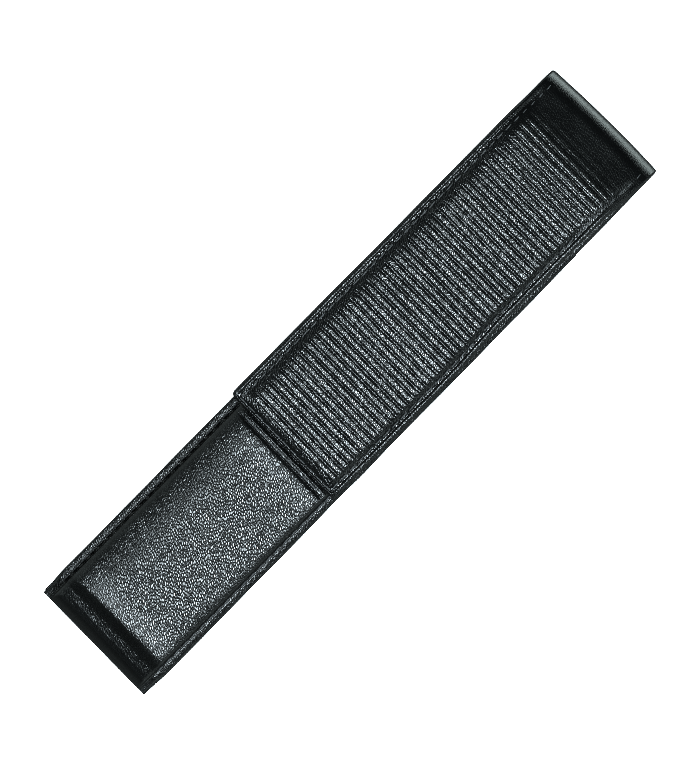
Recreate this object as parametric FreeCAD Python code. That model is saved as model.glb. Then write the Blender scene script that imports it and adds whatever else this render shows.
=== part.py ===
import FreeCAD, Part
import math
import os

# Single pen sleeve lying on its back. X is the width, +Y points to the folded top end,
# +Z points up through the front. Millimetres.

# ---- driving dimensions -------------------------------------------------------------
LENGTH = 165.0            # over the closed bottom end and the fold
HALF_L = LENGTH / 2.0
HEM_HALF = 16.4           # half width over the stitched side hems
T_LEATHER = 1.1
T_LINING = 0.5
T_BACK_BOARD = 0.9

Z_BACK_IN = T_LEATHER                       # top of the back leather, under the board
Z_RIM = Z_BACK_IN + T_BACK_BOARD            # top of the turned rim and of the board
Z_POCKET = Z_RIM + T_LINING                 # pocket floor, top of the back lining
Z_HEM = Z_POCKET + T_LEATHER                # top of the side hems
POCKET_H = 11.9                             # clear height for the pen
Z_POCKET_TOP = Z_POCKET + POCKET_H
Z_LINING_TOP = Z_POCKET_TOP + T_LINING
Z_UPPER_TOP = Z_LINING_TOP + T_LEATHER      # front panel under the flap
PAD_LOWER = 1.2                             # wadding under the lower front
Z_LOWER_TOP = Z_LINING_TOP + PAD_LOWER + T_LEATHER

WALL_HALF = 14.0          # outer face of the trough's side walls
Z_SHOULDER = 13.0         # height where the walls turn into the front
BOARD_HALF = 14.1
Y_MOUTH = 56.5            # open edge of the front
MOUTH_BINDING = 0.9
Y_SEAM = -21.3            # top edge of the lower front panel
TONGUE_Y = -26.0          # end of the upper panel under the lower one
Y_END_FLAT = -74.2        # where the lower front starts to turn down
END_R = 5.0
END_TILT = 75.0

# fold and flap, as one curve seen from the side
FLAP_GAP = 0.3            # air between the flap and the front under it
FLAP_HALF = 16.3
Z_FLAP_IN = Z_UPPER_TOP + FLAP_GAP
Z_FLAP = Z_FLAP_IN + T_LINING + T_LEATHER   # outer face of the flap's border
Y_FLAP_END = -20.8
Y_DROP = 58.0             # where the flap starts to fall towards the fold
DROP_R = 45.0
DROP_TILT = 16.0
TOP_R = 6.5               # outer radius at the flap's crease
LOW_R = 2.6               # outer radius at the back's crease
CREASE_B_TILT = 50.0
CREASE_A_TILT = 135.0
CREASE_GAP = 0.65         # from a crease's axis to the next piece's end
FLAP_CORNER_R = 1.0
PAD_HALF = 12.9           # ribbed, padded field of the flap
POCKET_HALF = 12.4
PAD_RISE = 1.0
T_FLAP_BOARD = 0.5
T_FLAP_WADDING = 0.8
RIB_PITCH = 1.88
RIB_H = 0.28
RIB_W = 1.2
FINE_H = 0.14
Y_PAD_END = -18.0
PAD_TOP_S = 93.6          # where the padded field ends, measured along the flap
STITCH_PITCH = 2.7
STITCH_L = 2.1
STITCH_W = 0.5
STITCH_H = 0.42
GROOVE_W = 0.7
GROOVE_D = 0.3
SEW_IN = 1.6              # stitch line from an edge

V = FreeCAD.Vector
os.makedirs("parts", exist_ok=True)


# ---- helpers ------------------------------------------------------------------------
def rad(d):
    return d * math.pi / 180.0


def on(centre, r, tilt):
    """Point at radius r from a centre in the YZ plane; tilt 0 is up, 90 is +Y."""
    return (centre[0] + r * math.sin(rad(tilt)), centre[1] + r * math.cos(rad(tilt)))


def extrude_yz(items, half):
    """A closed outline in the YZ plane, swept over x from -half to half. Items are
    ("L", point) or ("A", middle, point); the first item is the start point."""
    start = items[0]
    at = start
    edges = []

    def p3(p):
        return V(-half, p[0], p[1])

    for it in items[1:]:
        if it[0] == "L":
            edges.append(Part.makeLine(p3(at), p3(it[1])))
            at = it[1]
        else:
            edges.append(Part.Arc(p3(at), p3(it[1]), p3(it[2])).toShape())
            at = it[2]
    edges.append(Part.makeLine(p3(at), p3(start)))
    return Part.Face(Part.Wire(edges)).extrude(V(2.0 * half, 0, 0))


def box(x0, x1, y0, y1, z0, z1):
    return Part.makeBox(x1 - x0, y1 - y0, z1 - z0, V(x0, y0, z0))


def arch(half, top, r, base, y0, y1):
    """Trough section with rounded top corners, swept along Y."""
    zc = top - r
    xc = half - r
    k = r * math.sqrt(0.5)
    pts = [V(-half, y0, base), V(-half, y0, zc), V(-xc, y0, top), V(xc, y0, top), V(half, y0, zc), V(half, y0, base)]
    edges = [
        Part.makeLine(pts[0], pts[1]),
        Part.Arc(pts[1], V(-xc - k, y0, zc + k), pts[2]).toShape(),
        Part.makeLine(pts[2], pts[3]),
        Part.Arc(pts[3], V(xc + k, y0, zc + k), pts[4]).toShape(),
        Part.makeLine(pts[4], pts[5]),
        Part.makeLine(pts[5], pts[0]),
    ]
    return Part.Face(Part.Wire(edges)).extrude(V(0, y1 - y0, 0))


def end_block(top, base, y1):
    """The side outline of the closed bottom end, wide enough to trim a trough."""
    centre = (Y_END_FLAT, Z_LOWER_TOP - END_R)
    r = top - centre[1]
    a = (centre[0], top)
    m = (centre[0] - r * math.sin(rad(END_TILT / 2)), centre[1] + r * math.cos(rad(END_TILT / 2)))
    b = (centre[0] - r * math.sin(rad(END_TILT)), centre[1] + r * math.cos(rad(END_TILT)))
    run = (b[1] - base) / math.tan(rad(END_TILT))
    c = (b[0] - run, base)
    return extrude_yz([(y1, top), ("L", a), ("A", m, b), ("L", c), ("L", (y1, base))], 40.0)


def save(name, shape):
    shape = shape.removeSplitter()
    if not shape.isValid():
        shape.fix(1e-4, 1e-4, 1e-3)
    print(name, "solids", len(shape.Solids), "valid", shape.isValid(), "mm3", round(shape.Volume, 2))
    shape.exportStep("parts/" + name + ".step")
    return shape


def stitch_run(axis, fixed, a, b, z):
    """One row of stitches: a core lying in the groove with a bar for every stitch."""
    def bar(p, q, w, h):
        if axis == "y":
            return box(fixed - w / 2, fixed + w / 2, p, q, z, z + h)
        return box(p, q, fixed - w / 2, fixed + w / 2, z, z + h)

    n = int((b - a) // STITCH_PITCH)
    rest = (b - a) - (n - 1) * STITCH_PITCH - STITCH_L
    p0 = a + rest / 2.0
    bars = [bar(p0 + i * STITCH_PITCH, p0 + i * STITCH_PITCH + STITCH_L, STITCH_W, STITCH_H) for i in range(n)]
    core = bar(p0 + 0.2, p0 + (n - 1) * STITCH_PITCH + STITCH_L - 0.2, 0.3, 0.14)
    return core.fuse(bars).removeSplitter()


# ---- the side curve of back, fold and flap ------------------------------------------
C_DROP = (Y_DROP, Z_FLAP - DROP_R)
drop_end = on(C_DROP, DROP_R, DROP_TILT)
c2y = HALF_L - TOP_R
fall = (c2y + TOP_R * math.sin(rad(DROP_TILT)) - drop_end[0]) * math.tan(rad(DROP_TILT))
C_TOP = (c2y, drop_end[1] - fall - TOP_R * math.cos(rad(DROP_TILT)))
C_LOW = (HALF_L - LOW_R, LOW_R)
AXIS_B = on(C_TOP, TOP_R - T_LEATHER / 2, CREASE_B_TILT)
AXIS_A = on(C_LOW, LOW_R - T_LEATHER / 2, CREASE_A_TILT)
NOSE_R = T_LEATHER / 2


def flap_layer(d0, d1, y0, tilt, half):
    """Layer of the flap between depths d0 and d1 under the outer face, from y0 to a
    place on the crease's curve."""
    o = [
        (y0, Z_FLAP - d0),
        ("L", (Y_DROP, Z_FLAP - d0)),
        ("A", on(C_DROP, DROP_R - d0, DROP_TILT / 2), on(C_DROP, DROP_R - d0, DROP_TILT)),
        ("L", on(C_TOP, TOP_R - d0, DROP_TILT)),
        ("A", on(C_TOP, TOP_R - d0, (DROP_TILT + tilt) / 2), on(C_TOP, TOP_R - d0, tilt)),
        ("L", on(C_TOP, TOP_R - d1, tilt)),
        ("A", on(C_TOP, TOP_R - d1, (DROP_TILT + tilt) / 2), on(C_TOP, TOP_R - d1, DROP_TILT)),
        ("L", on(C_DROP, DROP_R - d1, DROP_TILT)),
        ("A", on(C_DROP, DROP_R - d1, DROP_TILT / 2), (Y_DROP, Z_FLAP - d1)),
        ("L", (y0, Z_FLAP - d1)),
    ]
    return extrude_yz(o, half)


def along(s, up):
    """Point on the flap's side curve: s along the outer face from the free end, up is
    the height over that face."""
    flat = Y_DROP - Y_FLAP_END
    turn = DROP_R * rad(DROP_TILT)
    if s <= flat:
        return (Y_FLAP_END + s, Z_FLAP + up)
    if s <= flat + turn:
        return on(C_DROP, DROP_R + up, (s - flat) / DROP_R * 180.0 / math.pi)
    p = on(C_DROP, DROP_R + up, DROP_TILT)
    d = s - flat - turn
    return (p[0] + d * math.cos(rad(DROP_TILT)), p[1] - d * math.sin(rad(DROP_TILT)))


# ---- back ---------------------------------------------------------------------------
a_deg = CREASE_A_TILT
back = extrude_yz(
    [
        (-HALF_L, 0.0),
        ("L", (C_LOW[0], 0.0)),
        ("A", on(C_LOW, LOW_R, (180 + a_deg) / 2), on(C_LOW, LOW_R, a_deg)),
        ("L", on(C_LOW, LOW_R - T_LEATHER, a_deg)),
        ("A", on(C_LOW, LOW_R - T_LEATHER, (180 + a_deg) / 2), (C_LOW[0], T_LEATHER)),
        ("L", (-HALF_L, T_LEATHER)),
    ],
    HEM_HALF,
)
nose_a = Part.makeCylinder(NOSE_R, 2 * HEM_HALF, V(-HEM_HALF, AXIS_A[0], AXIS_A[1]), V(1, 0, 0))
rim = box(-HEM_HALF, HEM_HALF, -HALF_L, 79.4, Z_BACK_IN - 0.2, Z_RIM)
rim = rim.cut(box(-BOARD_HALF, BOARD_HALF, -HALF_L + 2.3, 90.0, -1.0, 10.0))
back = back.fuse([nose_a, rim]).removeSplitter()
corners = [e for e in back.Edges if e.Length < 3.0 and abs(e.BoundBox.YMin + HALF_L) < 1e-6 and abs(e.BoundBox.YMax + HALF_L) < 1e-6 and e.BoundBox.ZLength > 1.0 and e.BoundBox.XLength < 1e-6]
back = back.makeFillet(1.4, corners)
save("back_leather", back)

board = box(-BOARD_HALF + 0.1, BOARD_HALF - 0.1, -HALF_L + 2.4, 77.5, Z_BACK_IN, Z_RIM)
save("back_board", board)

lining = box(-HEM_HALF + 0.5, HEM_HALF - 0.5, -HALF_L + 0.6, 79.0, Z_RIM, Z_POCKET)
save("back_lining", lining)

# ---- front --------------------------------------------------------------------------
R_LOW_OUT = Z_LOWER_TOP - Z_SHOULDER
R_UP_OUT = Z_UPPER_TOP - Z_SHOULDER
Y_IN = Y_SEAM + 0.05      # the upper panel's walls start here

# lower front: leather shell over the wadding, closed at the bottom end, with side hems
outer = arch(WALL_HALF, Z_LOWER_TOP, R_LOW_OUT, Z_POCKET, -HALF_L, Y_SEAM).common(end_block(Z_LOWER_TOP, Z_POCKET, 90.0))
inner = arch(WALL_HALF - T_LEATHER, Z_LOWER_TOP - T_LEATHER, R_LOW_OUT - T_LEATHER, Z_POCKET - 1.0, -HALF_L, Y_SEAM + 1.0)
inner = inner.common(end_block(Z_LOWER_TOP - T_LEATHER, Z_POCKET - 1.0, 90.0))
hems = box(-HEM_HALF, HEM_HALF, -HALF_L, Y_SEAM, Z_POCKET, Z_HEM)
hem_corners = [e for e in hems.Edges if e.BoundBox.ZLength > 0.5 and abs(e.BoundBox.YMax + HALF_L) < 1e-6]
hems = hems.makeFillet(1.4, hem_corners)
lower = outer.fuse(hems).cut(inner)
SEW_X = HEM_HALF - 1.35
for sx in (-1, 1):
    lower = lower.cut(box(sx * SEW_X - GROOVE_W / 2, sx * SEW_X + GROOVE_W / 2, -HALF_L + 1.0, Y_SEAM + 1, Z_HEM - GROOVE_D, Z_HEM + 0.5))
Y_HEM_SEW = Y_SEAM - 1.3
lower = lower.cut(box(-9.6, 9.6, Y_HEM_SEW - GROOVE_W / 2, Y_HEM_SEW + GROOVE_W / 2, Z_LOWER_TOP - GROOVE_D, Z_LOWER_TOP + 1))
save("front_lower_leather", lower)

# lining of the whole front
lin_out = arch(WALL_HALF - T_LEATHER, Z_LINING_TOP, Z_LINING_TOP - Z_SHOULDER, Z_POCKET, -HALF_L, Y_MOUTH)
lin_out = lin_out.common(end_block(Z_LINING_TOP, Z_POCKET, 90.0))
lin_in = arch(WALL_HALF - T_LEATHER - T_LINING, Z_POCKET_TOP, Z_POCKET_TOP - Z_SHOULDER, Z_POCKET - 1.0, -HALF_L, Y_MOUTH + 1.0)
lin_in = lin_in.common(end_block(Z_POCKET_TOP, Z_POCKET - 1.0, 90.0))
save("front_lining", lin_out.cut(lin_in))

wadding = inner.cut(lin_out).common(box(-11.2, 11.2, -HALF_L, TONGUE_Y - 0.3, 4.0, 30.0))
save("front_lower_wadding", wadding)

# upper front: thinner shell under the flap, its tongue tucked under the lower panel
upper = arch(WALL_HALF, Z_UPPER_TOP, R_UP_OUT, Z_POCKET, Y_IN, Y_MOUTH)
upper = upper.fuse(box(-HEM_HALF, HEM_HALF, Y_IN, Y_MOUTH, Z_POCKET, Z_HEM))
upper = upper.cut(arch(WALL_HALF - T_LEATHER, Z_LINING_TOP, Z_LINING_TOP - Z_SHOULDER, Z_POCKET - 1.0, Y_IN - 1.0, Y_MOUTH + 1.0))
upper = upper.fuse(box(-9.4, 9.4, TONGUE_Y, Y_IN + 0.5, Z_LINING_TOP, Z_UPPER_TOP))
for sx in (-1, 1):
    upper = upper.cut(box(sx * SEW_X - GROOVE_W / 2, sx * SEW_X + GROOVE_W / 2, Y_IN - 1, Y_MOUTH + 1, Z_HEM - GROOVE_D, Z_HEM + 0.5))
Y_MOUTH_SEW = Y_MOUTH - 1.4
upper = upper.cut(box(-10.8, 10.8, Y_MOUTH_SEW - GROOVE_W / 2, Y_MOUTH_SEW + GROOVE_W / 2, Z_UPPER_TOP - STITCH_H - 0.02, Z_UPPER_TOP + 1))
save("front_upper_leather", upper)

bind = arch(WALL_HALF, Z_UPPER_TOP, R_UP_OUT, Z_POCKET, Y_MOUTH, Y_MOUTH + MOUTH_BINDING)
bind = bind.fuse(box(-HEM_HALF, HEM_HALF, Y_MOUTH, Y_MOUTH + MOUTH_BINDING, Z_POCKET, Z_HEM))
bind = bind.cut(arch(WALL_HALF - T_LEATHER - T_LINING, Z_POCKET_TOP, Z_POCKET_TOP - Z_SHOULDER, Z_POCKET - 1.0, Y_MOUTH - 1.0, Y_MOUTH + 2.0))
save("mouth_binding", bind)

# ---- stitching of the body ----------------------------------------------------------
for name, sx in (("side_thread_left", -1), ("side_thread_right", 1)):
    low = stitch_run("y", sx * SEW_X, -HALF_L + 1.2, Y_MOUTH - 0.2, Z_HEM - GROOVE_D)
    high = stitch_run("y", sx * SEW_X, Y_MOUTH + MOUTH_BINDING + 0.4, 78.8, Z_POCKET)
    save(name, Part.makeCompound([low, high]))
save("hem_thread", stitch_run("x", Y_HEM_SEW, -9.5, 9.5, Z_LOWER_TOP - GROOVE_D))
save("mouth_thread", stitch_run("x", Y_MOUTH_SEW, -10.7, 10.7, Z_UPPER_TOP - STITCH_H - 0.02))

# ---- fold strip ---------------------------------------------------------------------
t_low = a_deg - CREASE_GAP / (LOW_R - T_LEATHER / 2) * 180.0 / math.pi
t_top = CREASE_B_TILT + CREASE_GAP / (TOP_R - T_LEATHER / 2) * 180.0 / math.pi


def fold_layer(d0, d1, low, high):
    return extrude_yz(
        [
            on(C_LOW, LOW_R - d0, low),
            ("A", on(C_LOW, LOW_R - d0, (low + 90) / 2), on(C_LOW, LOW_R - d0, 90)),
            ("L", on(C_TOP, TOP_R - d0, 90)),
            ("A", on(C_TOP, TOP_R - d0, (90 + high) / 2), on(C_TOP, TOP_R - d0, high)),
            ("L", on(C_TOP, TOP_R - d1, high)),
            ("A", on(C_TOP, TOP_R - d1, (90 + high) / 2), on(C_TOP, TOP_R - d1, 90)),
            ("L", on(C_LOW, LOW_R - d1, 90)),
            ("A", on(C_LOW, LOW_R - d1, (low + 90) / 2), on(C_LOW, LOW_R - d1, low)),
        ],
        FLAP_HALF,
    )


save("fold_leather", fold_layer(0.0, T_LEATHER, t_low, t_top))
strip = fold_layer(T_LEATHER, T_LEATHER + T_LINING, t_low, t_top + 4.0)
save("fold_lining", strip.common(box(-FLAP_HALF + 0.6, FLAP_HALF - 0.6, 70.0, 90.0, C_LOW[1] + 0.3, 40.0)))

# ---- flap ---------------------------------------------------------------------------
plan = box(-FLAP_HALF, FLAP_HALF, Y_FLAP_END, HALF_L + 5.0, 0.0, 40.0)
plan = plan.makeFillet(FLAP_CORNER_R, [e for e in plan.Edges if e.BoundBox.ZLength > 30 and abs(e.BoundBox.YMax - Y_FLAP_END) < 1e-6])
leather = flap_layer(0.0, T_LEATHER, Y_FLAP_END - 1.0, CREASE_B_TILT, FLAP_HALF).common(plan)
nose_b = Part.makeCylinder(NOSE_R, 2 * FLAP_HALF, V(-FLAP_HALF, AXIS_B[0], AXIS_B[1]), V(1, 0, 0))

s_pad = Y_PAD_END - Y_FLAP_END
top = [along(s_pad, -0.3), along(s_pad, PAD_RISE - 0.3), along(s_pad + 0.5, PAD_RISE)]
s = s_pad + 0.7
while s + RIB_PITCH < PAD_TOP_S:
    fade = min(1.0, (PAD_TOP_S - s) / 12.0)      # the field sinks into the sheet near the fold
    h = PAD_RISE * fade
    top += [
        along(s, h),
        along(s + 0.18, h + RIB_H * fade),
        along(s + RIB_W - 0.12, h + RIB_H * fade),
        along(s + RIB_W, h),
        along(s + RIB_W + 0.22, h + FINE_H * fade),
        along(s + RIB_PITCH - 0.22, h + FINE_H * fade),
    ]
    s += RIB_PITCH
top += [along(s, PAD_RISE * max(0.0, PAD_TOP_S - s) / 12.0), along(PAD_TOP_S + 0.6, -0.3)]
low = []
q = PAD_TOP_S
while q > s_pad + 3.0:
    low.append(along(q, -0.5))
    q -= 3.0
pad = extrude_yz([top[0]] + [("L", p) for p in top[1:] + low + [along(s_pad, -0.5)]], PAD_HALF)
leather = leather.fuse([nose_b, pad])
Z_CORE = Z_FLAP_IN + T_LINING
leather = leather.cut(box(-POCKET_HALF, POCKET_HALF, Y_PAD_END + 0.5, Y_DROP - 1.0, Z_CORE - 1.0, Z_CORE + T_FLAP_BOARD + T_FLAP_WADDING))
SEW_FLAP = FLAP_HALF - SEW_IN
Y_FLAP_SEW = Y_FLAP_END + SEW_IN
for sx in (-1, 1):
    leather = leather.cut(box(sx * SEW_FLAP - GROOVE_W / 2, sx * SEW_FLAP + GROOVE_W / 2, Y_FLAP_SEW - GROOVE_W / 2, Y_DROP - 0.5, Z_FLAP - GROOVE_D, Z_FLAP + 1))
leather = leather.cut(box(-SEW_FLAP, SEW_FLAP, Y_FLAP_SEW - GROOVE_W / 2, Y_FLAP_SEW + GROOVE_W / 2, Z_FLAP - GROOVE_D, Z_FLAP + 1))
save("flap_leather", leather)

save("flap_board", box(-POCKET_HALF + 0.1, POCKET_HALF - 0.1, Y_PAD_END + 0.6, Y_DROP - 1.1, Z_CORE, Z_CORE + T_FLAP_BOARD))
save("flap_wadding", box(-POCKET_HALF + 0.1, POCKET_HALF - 0.1, Y_PAD_END + 0.6, Y_DROP - 1.1, Z_CORE + T_FLAP_BOARD, Z_CORE + T_FLAP_BOARD + T_FLAP_WADDING))

flap_lining = flap_layer(T_LEATHER, T_LEATHER + T_LINING, Y_FLAP_END + 0.6, CREASE_B_TILT - 8.0, FLAP_HALF - 0.6)
save("flap_lining", flap_lining)

runs = [stitch_run("y", sx * SEW_FLAP, Y_FLAP_SEW + 0.5, Y_DROP - 0.8, Z_FLAP - GROOVE_D) for sx in (-1, 1)]
runs.append(stitch_run("x", Y_FLAP_SEW, -SEW_FLAP + 0.5, SEW_FLAP - 0.5, Z_FLAP - GROOVE_D))
save("flap_thread", Part.makeCompound(runs))

print("crease axes (y, z) A", [round(c, 4) for c in AXIS_A], "B", [round(c, 4) for c in AXIS_B])
print("Z levels: pocket", Z_POCKET, Z_POCKET_TOP, "upper", Z_UPPER_TOP, "lower", Z_LOWER_TOP, "flap", Z_FLAP, "C_TOP", C_TOP)
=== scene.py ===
import math

import bpy
import numpy as np
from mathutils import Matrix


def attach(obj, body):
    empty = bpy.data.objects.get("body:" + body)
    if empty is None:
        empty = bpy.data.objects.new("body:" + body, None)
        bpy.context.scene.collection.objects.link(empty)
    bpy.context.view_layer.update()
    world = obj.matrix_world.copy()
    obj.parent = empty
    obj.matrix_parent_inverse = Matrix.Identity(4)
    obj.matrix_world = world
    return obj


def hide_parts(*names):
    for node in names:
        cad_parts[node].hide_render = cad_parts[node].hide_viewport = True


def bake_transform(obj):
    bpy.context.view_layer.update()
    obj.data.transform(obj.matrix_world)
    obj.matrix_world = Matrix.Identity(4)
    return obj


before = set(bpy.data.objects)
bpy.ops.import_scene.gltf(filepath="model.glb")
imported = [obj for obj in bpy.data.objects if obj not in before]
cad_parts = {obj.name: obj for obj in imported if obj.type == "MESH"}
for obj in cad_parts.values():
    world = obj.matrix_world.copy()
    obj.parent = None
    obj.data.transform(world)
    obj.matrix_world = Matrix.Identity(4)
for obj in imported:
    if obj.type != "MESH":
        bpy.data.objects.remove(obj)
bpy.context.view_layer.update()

# A pen sleeve lying on its back, seen from straight above. Tables are in
# millimetres in the row frame: x across, y towards the folded end, z up.

scene = bpy.context.scene
MM = 0.001

# --- sizes -----------------------------------------------------------------
Y_FREE = -20.8                     # free end of the flap
Z_FLAP = 17.9                      # outer face of the flap's border
NOM = 16.3                         # nominal half width of the strip
SKIN = 1.1                         # leather
LIN = 0.5                          # lining
RIM = 1.95                         # turned edge of the back, two layers
S_SPLIT = 110.05                   # the strip's two skins meet here, mid spine
RIB = 1.868                        # rib pitch
RIB0 = 2.75                        # first rib from the free end
N_RIBS = 51
PITCH = 2.7                        # stitches
Y_SEAM = -21.3                     # top edge of the lower front
Y_MOUTH = 56.5
HEM = 16.4                         # half width over the side hems
Z_HEM = 3.6                        # top of the side hems
H_LOW = 13.6                       # lower front above the hems
H_UP = 12.4                        # upper front above the hems
A_Y, A_Z = 81.3496, 1.1504         # crease at the back
B_Y, B_Z = 80.558, 11.6147         # crease at the flap


# --- small maths -----------------------------------------------------------
def smooth(a, b, x):
    t = np.clip((np.asarray(x, float) - a) / (b - a), 0.0, 1.0)
    return t * t * (3.0 - 2.0 * t)


def pchip(xs, ys, x):
    """Monotone cubic through a table."""
    xs, ys = np.asarray(xs, float), np.asarray(ys, float)
    h = np.diff(xs)
    m = np.diff(ys) / h
    d = np.zeros_like(ys)
    w1, w2 = 2 * h[1:] + h[:-1], h[1:] + 2 * h[:-1]
    ok = m[:-1] * m[1:] > 0
    a = np.where(ok, m[:-1], 1.0)
    b = np.where(ok, m[1:], 1.0)
    d[1:-1] = np.where(ok, (w1 + w2) / (w1 / a + w2 / b), 0.0)
    d[0], d[-1] = m[0], m[-1]
    x = np.clip(np.asarray(x, float), xs[0], xs[-1])
    k = np.clip(np.searchsorted(xs, x, side="right") - 1, 0, len(h) - 1)
    t = (x - xs[k]) / h[k]
    t2, t3 = t * t, t * t * t
    return ((2 * t3 - 3 * t2 + 1) * ys[k] + (t3 - 2 * t2 + t) * h[k] * d[k]
            + (-2 * t3 + 3 * t2) * ys[k + 1] + (t3 - t2) * h[k] * d[k + 1])


_lattice = {}


def noise(u, v, cell_u, cell_v, seed):
    """Smooth value noise from -1 to 1."""
    if seed not in _lattice:
        _lattice[seed] = np.random.default_rng(seed).uniform(-1, 1, (97, 97))
    g = _lattice[seed]
    a = np.asarray(u, float) / cell_u + 1000.37
    b = np.asarray(v, float) / cell_v + 1000.71
    i, j = np.floor(a).astype(int), np.floor(b).astype(int)
    fa, fb = a - i, b - j
    fa, fb = fa * fa * (3 - 2 * fa), fb * fb * (3 - 2 * fb)
    i0, i1, j0, j1 = i % 97, (i + 1) % 97, j % 97, (j + 1) % 97
    return ((g[i0, j0] * (1 - fa) + g[i1, j0] * fa) * (1 - fb)
            + (g[i0, j1] * (1 - fa) + g[i1, j1] * fa) * fb)


def lip(d, r):
    """How far a rounded edge of radius r falls at distance d from the edge."""
    t = np.clip(r - np.asarray(d, float), 0.0, r)
    return r - np.sqrt(np.maximum(r * r - t * t, 0.0))


def rounded(dx, dy, r):
    """Distance into a rectangle with rounded corners."""
    inner = (dx < r) & (dy < r)
    return np.where(inner, r - np.hypot(r - dx, r - dy), np.minimum(dx, dy))


# --- meshes ----------------------------------------------------------------
def finish_mesh(name, co, faces, uv=None, sharp_rows=(), calm=None):
    mesh = bpy.data.meshes.new(name)
    mesh.from_pydata((co * MM).tolist(), [], faces)
    if calm is not None:               # 1 where the leather is stretched and its grain flat
        mesh.attributes.new("calm", "FLOAT", "POINT").data.foreach_set("value", calm.astype(np.float32).ravel())
    mesh.polygons.foreach_set("use_smooth", [True] * len(mesh.polygons))
    if uv is not None:
        layer = mesh.uv_layers.new(name="grain")
        which = np.empty(len(mesh.loops), np.int32)
        mesh.loops.foreach_get("vertex_index", which)
        layer.data.foreach_set("uv", uv.reshape(-1, 2)[which].astype(np.float32).ravel())
    if len(sharp_rows):
        ends = np.empty(len(mesh.edges) * 2, np.int32)
        mesh.edges.foreach_get("vertices", ends)
        ends = ends.reshape(-1, 2)
        row_of = np.full(len(mesh.vertices), -1)
        for k, row in enumerate(sharp_rows):
            row_of[row] = k
        sharp = (row_of[ends[:, 0]] >= 0) & (row_of[ends[:, 0]] == row_of[ends[:, 1]])
        mesh.attributes.new("sharp_edge", "BOOLEAN", "EDGE").data.foreach_set("value", sharp)
    mesh.update()
    obj = bpy.data.objects.new(name, mesh)
    scene.collection.objects.link(obj)
    return obj


def shell(name, rows, uv, calm=None, creased=(), width=None):
    """Closed skin from rows of closed loops, (m, n, 3) in mm, with uv in mm. Creased rows keep a sharp fold."""
    m, n, _ = rows.shape
    co = rows.reshape(-1, 3)
    idx = np.arange(m * n).reshape(m, n)
    nxt = np.roll(idx, -1, axis=1)
    quads = np.stack([idx[:-1], nxt[:-1], nxt[1:], idx[1:]], -1).reshape(-1, 4)
    c = co - co.mean(axis=0)
    p, q, r, s = (c[quads[:, k]] for k in range(4))
    volume = (np.einsum("ij,ij->i", p, np.cross(q, r)) + np.einsum("ij,ij->i", p, np.cross(r, s))).sum()
    caps = [idx[0][::-1], idx[-1]]
    if volume < 0:
        quads = quads[:, ::-1]
        caps = [k[::-1] for k in caps]
    faces = quads.tolist() + [k.tolist() for k in caps]
    return finish_mesh(name, co, faces, uv, [idx[0], idx[-1]] + [idx[k, :width] for k in creased], calm)


def thread(name, places, along, normal, length=2.1, width=0.34, height=0.36, lean=0.08, sink=0.2):
    """A row of separate twisted stitches, each diving into the leather at its ends."""
    places, along, normal = (np.asarray(a, float) for a in (places, along, normal))
    along = along / np.linalg.norm(along, axis=1, keepdims=True)
    normal = normal - along * np.einsum("ij,ij->i", normal, along)[:, None]
    normal = normal / np.linalg.norm(normal, axis=1, keepdims=True)
    side = np.cross(normal, along)
    along = along * math.cos(lean) + side * math.sin(lean)
    side = np.cross(normal, along)
    t = np.sin(np.linspace(-1, 1, 17) * math.pi / 2) * 0.995
    th = np.linspace(0, 2 * math.pi, 12, endpoint=False)
    T, TH = np.meshgrid(t, th, indexing="ij")
    rho = np.power(np.maximum(1 - np.abs(T) ** 3.0, 0.0), 0.5) + 0.02
    twist = 1 + 0.11 * np.cos(2 * TH - 2 * math.pi * T * 1.15)
    lx = T * length / 2
    ly = width / 2 * rho * twist * np.cos(TH)
    lz = height / 2 * rho * twist * np.sign(np.sin(TH)) * np.abs(np.sin(TH)) ** 0.7 - sink * np.abs(T) ** 3.5
    n1, n2 = T.shape
    base = np.stack([lx, ly, lz], -1).reshape(-1, 3)
    idx = np.arange(n1 * n2).reshape(n1, n2)
    nxt = np.roll(idx, -1, axis=1)
    quads = np.stack([idx[:-1], idx[1:], nxt[1:], nxt[:-1]], -1).reshape(-1, 4)
    caps = [idx[0], idx[-1][::-1]]
    rng = np.random.default_rng(len(places) * 7 + len(name))
    co, faces, uv = [], [], []
    for k in range(len(places)):
        f = 1 + 0.05 * rng.uniform(-1, 1, 3)
        local = base * f
        world = places[k] + local[:, :1] * along[k] + local[:, 1:2] * side[k] + local[:, 2:] * normal[k]
        off = k * len(base)
        co.append(world)
        faces += (quads + off).tolist() + [(c + off).tolist() for c in caps]
        uv.append(np.stack([lx.ravel() + k * 3.1, (TH * 0.25).ravel()], -1))
    return finish_mesh(name, np.concatenate(co), faces, np.concatenate(uv))


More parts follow.
